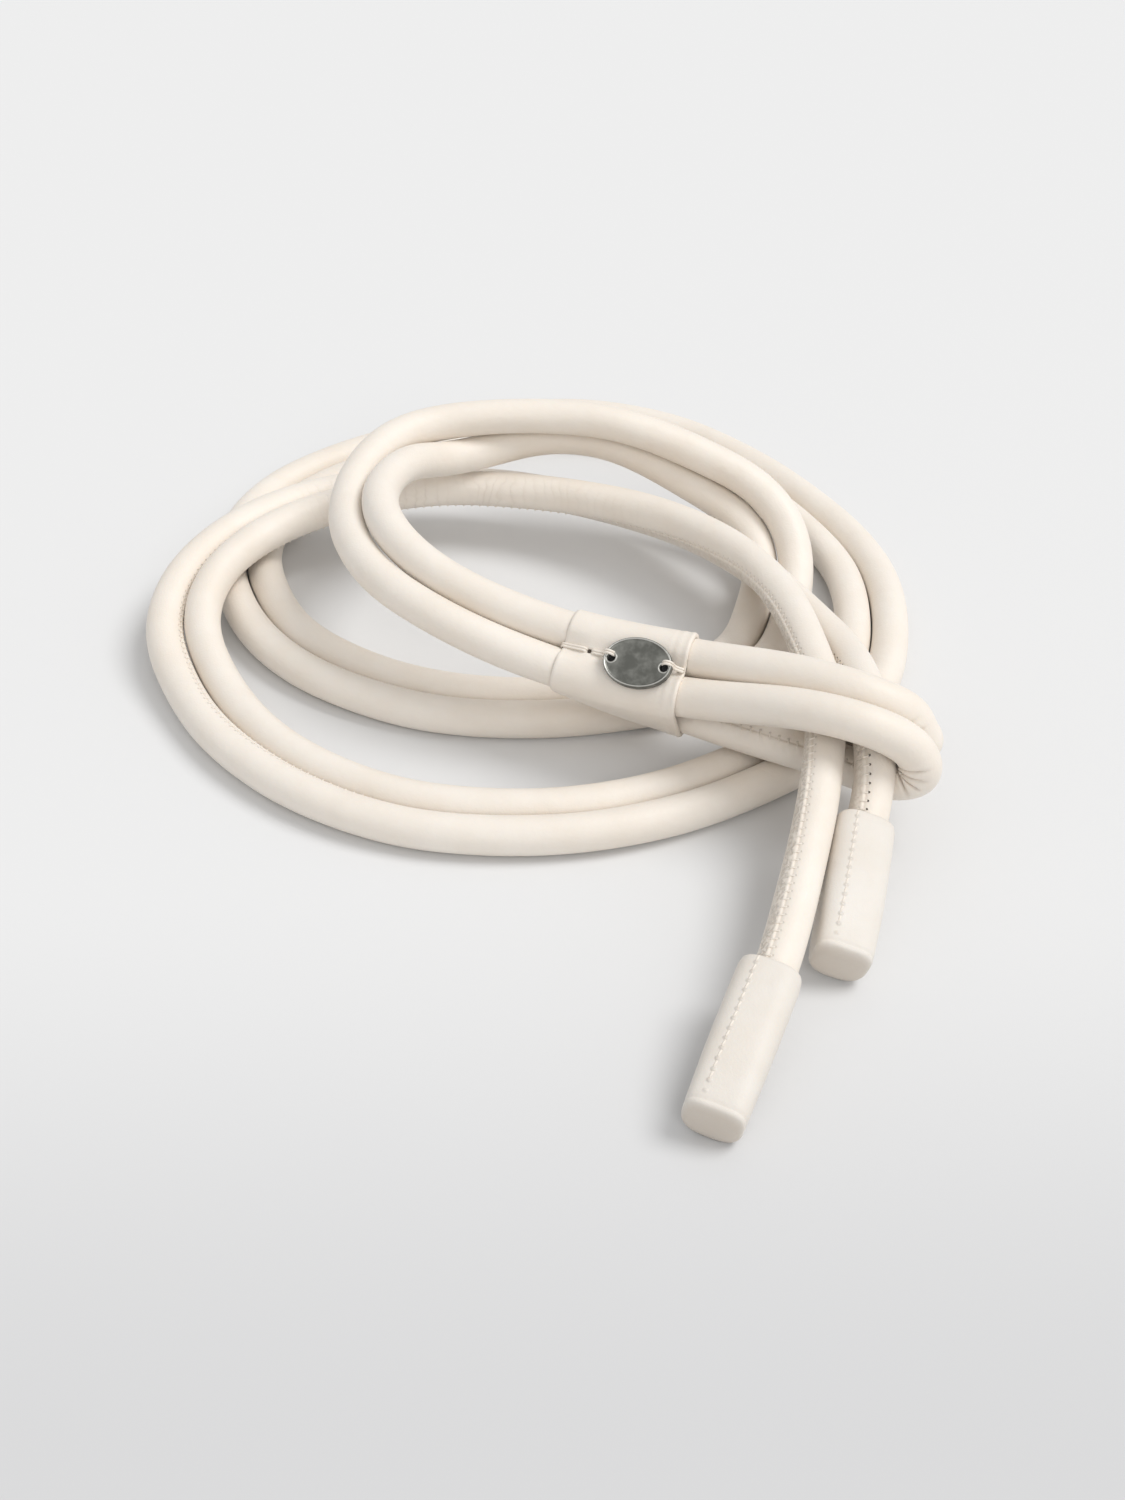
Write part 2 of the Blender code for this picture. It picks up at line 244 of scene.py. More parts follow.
# Threads: diameter and number of sides.
SEAM_THREAD = (0.4, 5)
TIP_THREAD = (0.5, 6)
BADGE_THREAD = (0.6, 8)
BADGE_THREAD_POINTS = 26
# The badge's thread is doubled: how far each one lies off the middle.
BADGE_THREAD_ASIDE = (-0.3, 0.3)

# Where the keeper ends, on the middle line of its upper layer: x, y.
KEEPER_ENDS = ((8.7, -18.0), (35.7, -29.8))
KEEPER_INNER_RADIUS = 4.72
# The outer radius at the left end and at the right end.
KEEPER_OUTER_RADII = (5.4, 5.8)
# How far the right end's section leans, in degrees.
KEEPER_LEAN = 12.0
# How deep the valley between the upper strands is: along the middle, and at the ends.
KEEPER_VALLEYS = (1.1, 2.4)
# How far in from an end the valley has its middle depth.
VALLEY_REACH = 7.0
# The rows of the route that run through the keeper: the upper layer's, and the lower layer's count.
UPPER_ROWS = slice(7, 13)
LOWER_ROWS = 4
UPPER_SAMPLES = 2400
LOWER_SAMPLES = 1200
# The keeper's direction is read this many samples before and after a place.
DIRECTION_SAMPLES = 30
# How far from the upper pair's middle line a strand is looked for.
UPPER_REACH = 15.0
LOWER_REACH = 25.0
KEEPER_SECTIONS = 120
KEEPER_ANGLES = 96
VALLEY_POINTS = 27
# The inner side near each end: rings, how many sections apart, and how much flatter the valley is.
INNER_RINGS = 6
INNER_RING_STEP = 2
INNER_VALLEY_RISE = 0.4
# How much wider than the inner side the rings at the edges are.
EDGE_LIFT = 0.12
# The outer side's rounding at its ends: depth, and how far in it reaches.
EDGE_DROP = 0.28
EDGE_REACH = 0.55
# Ripples near the right end: height, and the sine's angle over the keeper's whole length.
RIPPLE_HEIGHT = 0.045
RIPPLE_ANGLE = 78
# Where the thread goes into the keeper: distance from its left end.
KEEPER_HOLE = 6.6
# That hole's half length and half width, and how deep its rim is drawn in.
KEEPER_HOLE_HALVES = (1.05, 0.5)
KEEPER_HOLE_DEPTH = 0.6

BADGE_LENGTH = 16.2
BADGE_WIDTH = 11.8
BADGE_ALONG_KEEPER = 0.67
# How far the badge sits off the middle, towards the right strand.
BADGE_ASIDE = 0.9
BADGE_HOLE_DIAMETER = 1.8
BADGE_HOLE_SPACING = 12.6
BADGE_LIFT = 7.25
BADGE_ANGLES = 220
BADGE_FACE_RINGS = 44
# The badge's rim: how far in from its edge, and height over its middle plane.
BADGE_PROFILE = (
    (0.25, -0.8),
    (0.0, -0.6),
    (0.0, 0.4),
    (0.05, 0.6),
    (0.15, 0.74),
    (0.3, 0.8),
    (0.46, 0.74),
    (0.56, 0.6),
    (0.66, 0.44),
    (0.9, 0.38),
)
# The rows of that table that are worn: the first, the brightest and how far the wear fades. The rows
# before the first are the side wall, which gets painted shade.
FIRST_WORN_ROW = 4
WORN_ROW = 5.4
WORN_REACH = 2.0
# How worn other places are: 1 is bright, and below 0 is painted shade, darker on the side wall and
# black in the holes.
BADGE_SIDE_SHADE = -0.45
BADGE_HOLE_SHADE = -1.0
COLLAR_WEAR = 0.8
# The face inside the rim: height at its edge, and how much higher its middle is.
FACE_HEIGHT = 0.38
FACE_DOME = 0.12
BADGE_HOLE_DEPTH = 1.0
# The raised collar round a hole: distance from the hole's edge, width and height.
COLLAR_AWAY = 0.3
COLLAR_WIDTH = 0.2
COLLAR_HEIGHT = 0.16

TIP_LENGTH = 36.0
TIP_CAVITY_DEPTH = 23.5
# The tips stand out further on their sewn left side.
TIP_OFFSET = 0.8
# How far each tip is turned about its own length, in degrees: its left side is the higher one.
TIP_ROLLS = {"left_tip": 9.0, "right_tip": 18.0}
# Between a strand's end and the bottom of its tip's socket.
CLEARANCE = 0.3
# The leather tips: share of the length, width, height and how square the section's corners are.
TIP_SECTIONS = (
    (0.0, 12.3, 11.5, 3.0),
    (0.012, 12.9, 12.0, 3.1),
    (0.05, 13.3, 12.1, 3.2),
    (0.2, 13.4, 12.1, 3.3),
    (0.45, 13.3, 12.0, 3.4),
    (0.65, 13.1, 11.8, 3.6),
    (0.85, 12.7, 10.8, 3.8),
    (0.94, 12.55, 10.2, 3.8),
    (0.957, 12.2, 9.85, 3.7),
    (0.972, 12.45, 10.1, 3.6),
    (0.988, 12.1, 9.7, 3.4),
    (1.0, 11.1, 8.6, 3.2),
)
# A tip's underside is straight, as far down as that of a section this high.
TIP_FULL_HEIGHT = 12.1
# How much rounder the corners of the underside are.
UNDERSIDE_ROUNDER = 0.5
TIP_ANGLES = 96
# Where a tip's rings are, as shares of its length.
TIP_RING_SHARES = (
    *(0.0, 0.004, 0.012, 0.025, 0.05, 0.09),
    *np.linspace(0.13, 0.93, 34),
    *(0.945, 0.953, 0.96, 0.966, 0.972, 0.98, 0.988, 0.995, 1.0),
)
# The socket's rings: depths inside the tip, and the gap between socket and strand.
SOCKET_DEPTHS = (6.0, 3.0, 0.6)
SOCKET_GAP = 0.25
# The end face's rings: how far in from the outline, and how far out they stand.
TIP_END_RINGS = ((0.6, 0.25), (1.4, 0.4), (2.6, 0.45), (4.0, 0.45))
TIP_STITCH_START = 1.2
TIP_STITCH_PITCH = 2.35
TIP_STITCH_OFFSET = 3.1
# The share of the tip's length that has stitches.
TIP_STITCHED = 0.9
# A tip stitch: places along it, and heights over the leather.
TIP_STITCH = ((-0.75, -0.35), (-0.6, -0.1), (0.0, 0.0), (0.6, -0.1), (0.75, -0.35))
TIP_STITCH_SLANT = 0.15
# A place across the tip that lies outside its row of stitches.
OFF_THE_ROW = 9.0

CAMERA_PLACE = (7.86, -406.22, 304.2)
CAMERA_TILT = 52.0
CAMERA_LENS = 50.4
FRAME_HEIGHT = 36.0
# The soft main light comes from the right and a much weaker one from the front.
LAMPS = (
    # name, direction that it comes from, strength
    ("key", (0.65, 0.06, 1.0), 1.55),
    ("front", (0.3, -1.0, 0.8), 0.5),
)
LAMP_ANGLE = 30.0
WORLD_STRENGTH = 0.634
FLOOR_HALF_WIDTH = 4000
FLOOR_CORNERS = ((-1, -1), (1, -1), (1, 1), (-1, 1))
# The floor is painted darker towards the camera between these two places, in metres, as painted shade
# where the light falls off.
FLOOR_DARK_FROM = -0.06
FLOOR_DARKEST = -0.21

LEATHER_LIGHT = (0.848, 0.788, 0.714)
LEATHER_DEEP = (0.79, 0.708, 0.612)
# The tips' leather is darker by this factor: red, green, blue.
TIP_TONE = (0.898, 0.915, 0.935)
# Painted shade in creases, wrinkles, tip dimples and on the tips' ends, and the real darker tone of
# the seam line and the rough lapped side.
CREASE_SHADE_AND_TONE = (0.45, 0.36, 0.27)
# Painted shade: stitch holes and the keeper's thread hole are drawn nearly black.
HOLE_SHADE_COLOUR = (0.07, 0.05, 0.035)
THREAD_COLOUR = (0.88, 0.83, 0.76)
PEWTER_DARK = (0.165, 0.166, 0.149)
PEWTER_STAINED = (0.3, 0.3, 0.274)
PEWTER_WORN = (0.66, 0.65, 0.61)
# Painted shade: the black in the badge's holes and on its darker side wall.
PAINTED_SHADE_BLACK = (0.01, 0.01, 0.01)
FLOOR_NEAR = (0.62, 0.62, 0.625)
FLOOR_FAR = (0.75, 0.75, 0.75)


def unit(vector):
    return vector / np.linalg.norm(vector)


def across_direction(row):
    """The unit vector from the left strand to the right strand at one row of the pair's route."""
    across = math.radians(row[3])
    rise = math.radians(row[4])
    flat = math.cos(rise)
    return np.array([flat * math.cos(across), flat * math.sin(across), math.sin(rise)])


def shifted(points):
    """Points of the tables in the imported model's frame."""
    return np.array(points, float) + np.array(ROUTE_SHIFT)


def strand_route(side, tail):
    """The listed points of one strand: side is 1 for the right strand and -1 for the left."""
    points = []
    for row in PAIR_ROUTE:
        points.append(np.array(row[:3], float) + side * PAIR_SPACING / 2 * across_direction(row))
    points.extend(np.array(row, float) for row in tail)
    return shifted(points)


class Smooth:
    """A natural cubic spline through points, by distance along them."""

    def __init__(self, points):
        self.points = np.array(points, float)
        steps = np.linalg.norm(np.diff(self.points, axis=0), axis=1)
        self.at = np.concatenate([[0.0], np.cumsum(steps)])
        count = len(self.points)
        matrix = np.eye(count)
        right = np.zeros((count, 3))
        for i in range(1, count - 1):
            before = steps[i - 1]
            after = steps[i]
            matrix[i, i - 1] = before
            matrix[i, i] = 2 * (before + after)
            matrix[i, i + 1] = after
            rise_after = (self.points[i + 1] - self.points[i]) / after
            rise_before = (self.points[i] - self.points[i - 1]) / before
            right[i] = 6 * (rise_after - rise_before)
        self.bend = np.linalg.solve(matrix, right)
        self.length = self.at[-1]

    def __call__(self, distances):
        distances = np.atleast_1d(distances)
        i = np.clip(np.searchsorted(self.at, distances) - 1, 0, len(self.at) - 2)
        step = (self.at[i + 1] - self.at[i])[:, None]
        after = (distances - self.at[i])[:, None]
        before = step - after
        m0 = self.bend[i]
        m1 = self.bend[i + 1]
        p0 = self.points[i]
        p1 = self.points[i + 1]
        cubic = (m0 * before**3 + m1 * after**3) / (6 * step)
        return cubic + (p0 / step - m0 * step / 6) * before + (p1 / step - m1 * step / 6) * after


def smoothstep(low, high, values):
    """0 at low, 1 at high and smooth between, also where low is the larger."""
    share = np.clip((np.asarray(values) - low) / (high - low), 0, 1)
    return share * share * (3 - 2 * share)


class Strand:
    """One strand's line with a frame carried along it, and the shape of its leather skin."""

    def __init__(self, route, seam):
        self.curve = Smooth(route)
        fine = self.curve(np.linspace(0, self.curve.length, LINE_SAMPLES))
        steps = np.diff(fine, axis=0)
        lengths = np.linalg.norm(steps, axis=1)
        directions = steps / lengths[:, None]
        turns = np.arccos(np.clip((directions[1:] * directions[:-1]).sum(axis=1), -1, 1))
        effort = lengths / RING_STEP
        effort[1:] += np.degrees(turns) / RING_TURN
        total = np.concatenate([[0.0], np.cumsum(effort)])
        run = np.concatenate([[0.0], np.cumsum(lengths)])
        wanted = np.linspace(0, total[-1], int(math.ceil(total[-1])) + 1)
        self.run = np.interp(wanted, total, run)
        self.centres = np.stack([np.interp(wanted, total, fine[:, k]) for k in range(3)], axis=1)
        self.directions = np.gradient(self.centres, self.run, axis=0)
        self.directions /= np.linalg.norm(self.directions, axis=1)[:, None]
        bends = np.gradient(self.directions, self.run, axis=0)
        side = unit(np.cross(self.directions[0], (0.0, 0.0, 1.0)))
        sides = []
        for direction in self.directions:
            side = unit(side - direction * side.dot(direction))
            sides.append(side)
        self.sides = np.array(sides)
        self.ups = np.cross(self.directions, self.sides)
        self.bend_side = (bends * self.sides).sum(axis=1)
        self.bend_up = (bends * self.ups).sum(axis=1)
        table = np.array(seam, float)
        angles = np.radians(np.interp(self.run, table[:, 0], table[:, 1]))
        window = 2 * SEAM_SMOOTHING + 1
        padded = np.pad(angles, SEAM_SMOOTHING, mode="edge")
        self.seam = np.convolve(padded, np.ones(window) / window, mode="valid")

    def skin(self, run, off, lift=0.0):
        """Points on the skin at distances along the strand and off the seam, and how it bends there.

        Each point comes with how squeezed the leather is and how deep in a crease, from 0 to 1.
        """
        run = np.asarray(run, float)
        off = np.asarray(off, float)

        def read(values):
            return np.interp(run, self.run, values)

        def read_points(values):
            return np.stack([read(values[:, k]) for k in range(3)], axis=-1)

        centre, side, up = (read_points(v) for v in (self.centres, self.sides, self.ups))
        angle = read(self.seam) + off / STRAND_RADIUS
        squeeze = read(self.bend_side) * np.cos(angle) + read(self.bend_up) * np.sin(angle)
        squeeze = squeeze * STRAND_RADIUS
        bend = np.hypot(read(self.bend_side), read(self.bend_up)) * STRAND_RADIUS
        height, crease = skin_height(run, off, angle, squeeze, bend)
        radius = STRAND_RADIUS + height + lift
        out = np.cos(angle)[..., None] * side + np.sin(angle)[..., None] * up
        return centre + radius[..., None] * out, squeeze, crease


def skin_height(run, off, angle, squeeze, bend):
    """How far the skin stands off the plain round strand, and how deep in a crease it lies."""
    uneven = 0.05 * np.sin(run * 0.071 + 2.0 * np.cos(angle))
    uneven = uneven + 0.04 * np.sin(run * 0.19 + 3.1 * np.sin(angle))
    lap = np.where(off > 0, LAP_HEIGHT * np.exp(-((off / LAP_FADE) ** 2)), 0.0)
    lap = lap * smoothstep(0.0, 0.25, off)
    groove = -GROOVE_DEPTH * np.exp(-(((off + 0.05) / GROOVE_WIDTH) ** 2))
    drift = 0.5 * np.sin(run * 0.21 + 2.1 * np.cos(angle))
    drift = drift + 0.5 * np.sin(run * 0.083 + 1.7 * np.sin(angle))
    phase = run / FOLD_SPACING + 0.5 * drift
    crease = (1 - np.abs(np.sin(math.pi * phase))) ** 2.2
    fold = smoothstep(0.3, 0.44, bend) * smoothstep(-0.4, 0.2, squeeze)
    return uneven + lap + groove + FOLD_DEPTH * fold * (0.2 - crease), fold * crease


def offsets_from_seam():
    """Places round a strand, in mm off its seam, closer together at the seam."""
    all_round = NEAR_SEAM[0] + math.pi * STRAND_DIAMETER
    rest = np.linspace(NEAR_SEAM[-1], all_round, STRAND_SEGMENTS + 2)[1:-1]
    return np.concatenate([NEAR_SEAM, rest])


def add_mesh(name, points, faces, material, smooth=True):
    mesh = bpy.data.meshes.new(name)
    mesh.from_pydata((np.asarray(points) * MM).tolist(), [], faces)
    mesh.materials.append(material)
    mesh.polygons.foreach_set("use_smooth", [smooth] * len(mesh.polygons))
    mesh.update()
    made = bpy.data.objects.new(name, mesh)
    bpy.context.scene.collection.objects.link(made)
    return made


def grid_faces(rows, columns, start=0):
    """Quads between rings that close on themselves."""
    faces = []
    for i in range(rows - 1):
        for j in range(columns):
            after = (j + 1) % columns
            a = start + i * columns
            b = a + columns
            faces.append((a + j, a + after, b + after, b + j))
    return faces


def closed_faces(rows, columns, start=0):
    """The same quads, with a face over each end."""
    last = start + (rows - 1) * columns
    faces = grid_faces(rows, columns, start)
    faces.append(tuple(range(start + columns - 1, start - 1, -1)))
    faces.append(tuple(range(last, last + columns)))
    return faces


def skin_mesh(name, strand, sewn, material):
    """A strand's leather, with its map and the marks of how it is sewn and bent."""
    offs = offsets_from_seam()
    runs, places = np.meshgrid(strand.run, offs, indexing="ij")
    points, squeeze, crease = strand.skin(runs, places)
    rows, columns = runs.shape
    made = add_mesh(name, points.reshape(-1, 3), closed_faces(rows, columns), material)
    mesh = made.data
    # The map gives millimetres along the strand and off the seam.
    across = np.append(offs, offs[0] + math.pi * STRAND_DIAMETER)
    coordinates = np.zeros((rows - 1, columns, 4, 2))
    for corner, (further, beside) in enumerate(((0, 0), (0, 1), (1, 1), (1, 0))):
        coordinates[:, :, corner, 0] = strand.run[further : rows - 1 + further, None]
        coordinates[:, :, corner, 1] = across[None, beside : columns + beside]
    flat = np.zeros(len(mesh.loops) * 2)
    flat[: coordinates.size] = coordinates.reshape(-1)
    mesh.uv_layers.new(name="run").data.foreach_set("uv", flat)
    table = np.array(sewn, float)
    rough = np.interp(runs, table[:, 0], table[:, 2])
    rough = rough * smoothstep(0.5, 1.1, places) * smoothstep(4.2, 3.2, places)
    wrinkled = np.interp(runs, strand.curve.at[list(WRINKLED_ROWS)], (0.0, 1.0, 1.0, 0.0))
    give(mesh, "pierced", np.interp(runs, table[:, 0], table[:, 1]))
    give(mesh, "rough", rough)
    give(mesh, "wrinkled", wrinkled * smoothstep(-0.01, 0.05, squeeze))
    # crease_shade says where painted shade goes in the creases of tight bends.
    give(mesh, "crease_shade", crease)
    return made


def give(mesh, name, values):
    """Gives each point of a mesh a number for its material."""
    values = np.asarray(values, float)
    mesh.attributes.new(name, "FLOAT", "POINT").data.foreach_set("value", values.reshape(-1))


def threads(name, paths, thread, material):
    """Bits of thread along short paths, as one mesh."""
    diameter, sides = thread
    points = []
    faces = []
    for path in paths:
        path = np.asarray(path, float)
        directions = np.gradient(path, axis=0)
        directions /= np.linalg.norm(directions, axis=1)[:, None]
        start = len(points)
        side = np.cross(directions[0], (0.31, 0.17, 0.93))
        for centre, direction in zip(path, directions):
            side = unit(side - direction * side.dot(direction))
            up = np.cross(direction, side)
            for k in range(sides):
                angle = 2 * math.pi * k / sides
                points.append(centre + diameter / 2 * (math.cos(angle) * side + math.sin(angle) * up))
        faces.extend(closed_faces(len(path), sides, start))
    return add_mesh(name, points, faces, material)


def seam_stitches(name, strand, material):
    """Slanted stitches over the lapped edge of the strand's leather."""
    paths = []
    offs = np.array(STITCH_OFFS)
    lifts = np.array(STITCH_LIFTS)
    count = int(strand.curve.length / STITCH_PITCH)
    for k in range(count):
        middle = (k + 0.5) * STITCH_PITCH
        runs = middle + STITCH_SLANT * offs
        paths.append(strand.skin(runs, offs, lifts)[0])
    return threads(name, paths, SEAM_THREAD, material)


def upward(vector):
    """The unit vector along a direction, taken so that it points up."""
    return unit(vector) * math.copysign(1.0, vector[2])


def crossing(fine, place, direction, reach):
    """Where a finely sampled line crosses a plane, near a place, or None."""
    ahead = (fine - place) @ direction
    for i in np.flatnonzero(ahead[:-1] * ahead[1:] <= 0):
        if np.linalg.norm(fine[i] - place) < reach:
            share = ahead[i] / (ahead[i] - ahead[i + 1])
            return fine[i] + share * (fine[i + 1] - fine[i])
    return None


class Keeper:
    """Sections of the keeper round the strands, from its left end to its right end."""

    def __init__(self, left, right):
        uppers = []
        lowers = []
        for curve in (left.curve, right.curve):
            upper = curve.at[UPPER_ROWS]
            uppers.append(curve(np.linspace(upper[0], upper[-1], UPPER_SAMPLES)))
            lowers.append(curve(np.linspace(0, curve.at[LOWER_ROWS - 1], LOWER_SAMPLES)))
        middle = (uppers[0] + uppers[1]) / 2
        ends = []
        for end in KEEPER_ENDS:
            place = shifted([(*end, 0.0)])[0][:2]
            ends.append(np.linalg.norm(middle[:, :2] - place, axis=1).argmin())
        self.shares = np.linspace(0, 1, KEEPER_SECTIONS)
        self.frames = []
        for share in self.shares:
            i = int(round(ends[0] + share * (ends[1] - ends[0])))
            centre = middle[i]
            direction = unit(middle[i - DIRECTION_SAMPLES] - middle[i + DIRECTION_SAMPLES])
            tops = [crossing(line, centre, direction, UPPER_REACH) for line in uppers]
            out = upward(np.cross(tops[1] - tops[0], direction))
            lean = math.radians(KEEPER_LEAN) * share
            normal = math.cos(lean) * direction - math.sin(lean) * out
            tops = [crossing(line, centre, normal, UPPER_REACH) for line in uppers]
            across = unit(tops[1] - tops[0])
            out = upward(np.cross(across, normal))
            bottoms = [crossing(line, centre, normal, LOWER_REACH) for line in lowers]
            self.frames.append([centre, direction, across, out, tops, bottoms])
        # Towards the left end the sleeve closes down from four strands to the upper two.
        first_full = min(i for i, f in enumerate(self.frames) if all(b is not None for b in f[5]))
        for i in range(first_full):
            kept = i / first_full
            source = self.frames[first_full]
            for k in range(2):
                drop = source[5][k] - source[4][k]
                self.frames[i][5][k] = self.frames[i][4][k] + kept * drop
        centres = np.array([f[0] for f in self.frames])
        steps = np.linalg.norm(np.diff(centres, axis=0), axis=1)
        self.run = np.concatenate([[0.0], np.cumsum(steps)])
        self.length = self.run[-1]

    def ring(self, index, radius, dip):
        """The outline round the strands of one section, with a valley between the upper two."""
        centre, _, across, out, tops, bottoms = self.frames[index]
        offs = [p - centre for p in tops + bottoms]
        circles = np.array([[off.dot(across), off.dot(out)] for off in offs])
        places = []
        for k in range(KEEPER_ANGLES):
            angle = 2 * math.pi * (k + 0.5) / KEEPER_ANGLES
            normal = np.array([math.cos(angle), math.sin(angle)])
            furthest = circles[(circles @ normal).argmax()]
            place = furthest + radius * normal
            if k == KEEPER_ANGLES // 4:
                before = places[-1]
                for j in range(VALLEY_POINTS):
                    share = (j + 1) / (VALLEY_POINTS + 1)
                    depth = dip * math.sin(math.pi * share) ** 3
                    places.append(before + share * (place - before) - np.array([0.0, depth]))
            places.append(place)
        return [centre + x * across + z * out for x, z in places]

    def dip(self, run):
        """How deep the valley is at a distance from the left end."""
        shallow, deep = KEEPER_VALLEYS
        from_end = max(min(run, self.length - run), 0.0)
        return deep + (shallow - deep) * smoothstep(0.0, VALLEY_REACH, from_end)

    def over_valley(self, run, height):
        """A distance from the left end, with a height over the valley as one off the middle line."""
        low, high = KEEPER_OUTER_RADII
        return run, low + (high - low) * run / self.length - self.dip(run) + height

    def place(self, run, x, z):
        """A point by distance from the left end, x towards the right strand and z off the middle."""
        parts = []
        for part in range(3):
            values = np.array([f[part] for f in self.frames])
            parts.append(np.array([np.interp(run, self.run, values[:, k]) for k in range(3)]))
        centre, direction, across = parts
        beyond = min(run, 0) + max(run - self.length, 0)
        out = upward(np.cross(across, direction))
        return centre + beyond * direction + x * across + z * out


def keeper_mesh(keeper, material):
    """The sleeve: an inner side near each end, rounded edges, and the outer side with its hole."""
    run, height = keeper.over_valley(KEEPER_HOLE, 0.0)
    hole = keeper.place(run, 0.0, height)
    nearest = int(np.searchsorted(keeper.run, KEEPER_HOLE))
    _, direction, across = keeper.frames[nearest][:3]
    out = upward(np.cross(across, direction))
    half_long, half_wide = KEEPER_HOLE_HALVES
    low, high = KEEPER_OUTER_RADII
    deep = KEEPER_VALLEYS[1]
    last = KEEPER_SECTIONS - 1
    inner = range(0, INNER_RINGS * INNER_RING_STEP, INNER_RING_STEP)

    # Each ring: its section, radius and valley.
    rings = [(i, KEEPER_INNER_RADIUS, deep - INNER_VALLEY_RISE) for i in reversed(inner)]
    rings.append((0, KEEPER_INNER_RADIUS + EDGE_LIFT, deep))
    for i, share in enumerate(keeper.shares):
        radius = low + (high - low) * share
        from_end = min(i, last - i) * keeper.length / last
        radius -= EDGE_DROP * (1 - smoothstep(0.0, EDGE_REACH, from_end))
        radius += RIPPLE_HEIGHT * math.sin(share * RIPPLE_ANGLE) * smoothstep(0.8, 0.88, share)
        rings.append((i, radius, keeper.dip(share * keeper.length)))
    rings.append((last, KEEPER_INNER_RADIUS + EDGE_LIFT, deep))
    rings.extend((last - i, KEEPER_INNER_RADIUS, deep - INNER_VALLEY_RISE) for i in inner)

    points = []
    pierced = []
    for index, radius, dip in rings:
        for point in keeper.ring(index, radius, dip):
            off = point - hole
            away = math.hypot(off.dot(direction) / half_long, off.dot(across) / half_wide)
            depth = (1 - smoothstep(0.6, 1.15, away)) * smoothstep(3.5, 2.5, abs(off.dot(out)))
            points.append(point - KEEPER_HOLE_DEPTH * depth * out)
            pierced.append(depth)
    faces = grid_faces(len(rings), KEEPER_ANGLES + VALLEY_POINTS)
    made = add_mesh("keeper_leather", points, faces, material)
    # pierced marks the thread hole, which the leather's colour fills with painted shade.
    give(made.data, "pierced", pierced)
    return made


def badge_axes(keeper):
    """The badge's middle and its axes: along the keeper, across it and out of its face."""
    run = BADGE_ALONG_KEEPER * keeper.length
    index = int(np.searchsorted(keeper.run, run))
    centre, direction, across = keeper.frames[index][:3]
    out = upward(np.cross(across, direction))
    middle = centre + BADGE_LIFT * out + BADGE_ASIDE * across
    return middle, direction, np.cross(out, direction), out


def badge_mesh(keeper, material):
    """The oval plate: a raised rim round a plain face that is slightly domed, and two holes."""
    middle, along, width, out = badge_axes(keeper)
    half_long = BADGE_LENGTH / 2
    half_short = BADGE_WIDTH / 2
    # Each ring: how far in from the edge, height, and how worn, with painted shade below 0.
    rings = []
    for k, (inset, height) in enumerate(BADGE_PROFILE):
        ring_wear_and_shade = 1.0 - abs(k - WORN_ROW) / WORN_REACH
        rings.append((inset, height, ring_wear_and_shade if k >= FIRST_WORN_ROW else BADGE_SIDE_SHADE))
    for inset in np.linspace(1.1, half_short - 0.03, BADGE_FACE_RINGS):
        rings.append((inset, FACE_HEIGHT + FACE_DOME * smoothstep(1.0, 5.5, inset), 0.0))
    points = []
    wear_and_shade = []
    for k, (inset, height, ring_wear_and_shade) in enumerate(rings):
        for j in range(BADGE_ANGLES):
            angle = 2 * math.pi * j / BADGE_ANGLES
            x = (half_long - inset) * math.cos(angle)
            y = (half_short - inset) * math.sin(angle)
            z = height
            point_wear_and_shade = ring_wear_and_shade
            if k >= len(BADGE_PROFILE) - 2:
                away = math.hypot(abs(x) - BADGE_HOLE_SPACING / 2, y) - BADGE_HOLE_DIAMETER / 2
                collar = math.exp(-(((away - COLLAR_AWAY) / COLLAR_WIDTH) ** 2))
                z -= BADGE_HOLE_DEPTH * (1 - smoothstep(-0.2, 0.06, away))
                z += COLLAR_HEIGHT * collar
                # Inside a hole the pewter gets painted shade, black.
                point_wear_and_shade = BADGE_HOLE_SHADE if away < 0 else max(point_wear_and_shade, COLLAR_WEAR * collar)
            points.append(middle + x * along + y * width + z * out)
            wear_and_shade.append(point_wear_and_shade)
    made = add_mesh("badge_plate", points, closed_faces(len(rings), BADGE_ANGLES), material)
    give(made.data, "wear_and_shade", wear_and_shade)
    return made


def badge_threads(keeper, material):
    """Pale doubled thread from each hole over the rim, along the valley and round the keeper's end.

    Each row is a distance from the keeper's left end and a height off the middle line.
    """
    middle = BADGE_ALONG_KEEPER * keeper.length
    hole = BADGE_HOLE_SPACING / 2
    edge = BADGE_LENGTH / 2
    high = BADGE_LIFT
    over = keeper.over_valley
    paths = []
    for x in BADGE_THREAD_ASIDE:
        left = (
            (middle - hole + 0.2, high - 0.3),
            (middle - hole - 0.3, high + 0.5),
            (middle - hole - 1.1, high + 0.95),
            (middle - edge - 0.1, high + 0.7),
            over(middle - edge - 1.1, 1.2),
            over(middle - edge - 2.4, 0.45),
            over(KEEPER_HOLE + 1.6, 0.35),
            over(KEEPER_HOLE + 0.9, 0.0),
            over(KEEPER_HOLE + 0.65, -0.8),
        )
        end = (
            over(KEEPER_HOLE - 0.65, -0.8),
            over(KEEPER_HOLE - 1.0, 0.15),
            over(KEEPER_HOLE - 2.1, 0.4),
            over(2.4, 0.4),
            over(0.9, 0.3),
            over(-0.15, 0.0),
            over(-0.4, -0.75),
            over(0.1, -1.35),
        )
        right = (
            (middle + hole - 0.2, high - 0.3),
            (middle + hole + 0.3, high + 0.5),
            (middle + hole + 1.1, high + 0.95),
            (middle + edge + 0.1, high + 0.7),
            over(middle + edge + 1.1, 1.4),
            over(middle + edge + 2.2, 0.5),
            over(keeper.length - 0.6, 0.3),
            over(keeper.length + 0.25, 0.0),
            over(keeper.length + 0.35, -0.7),
        )
        for row in (left, end, right):
            path = np.array([keeper.place(run, x, z) for run, z in row])
            smooth = Smooth(path)
            paths.append(smooth(np.linspace(0, smooth.length, BADGE_THREAD_POINTS)))
    return threads("badge_threads", paths, BADGE_THREAD, material)


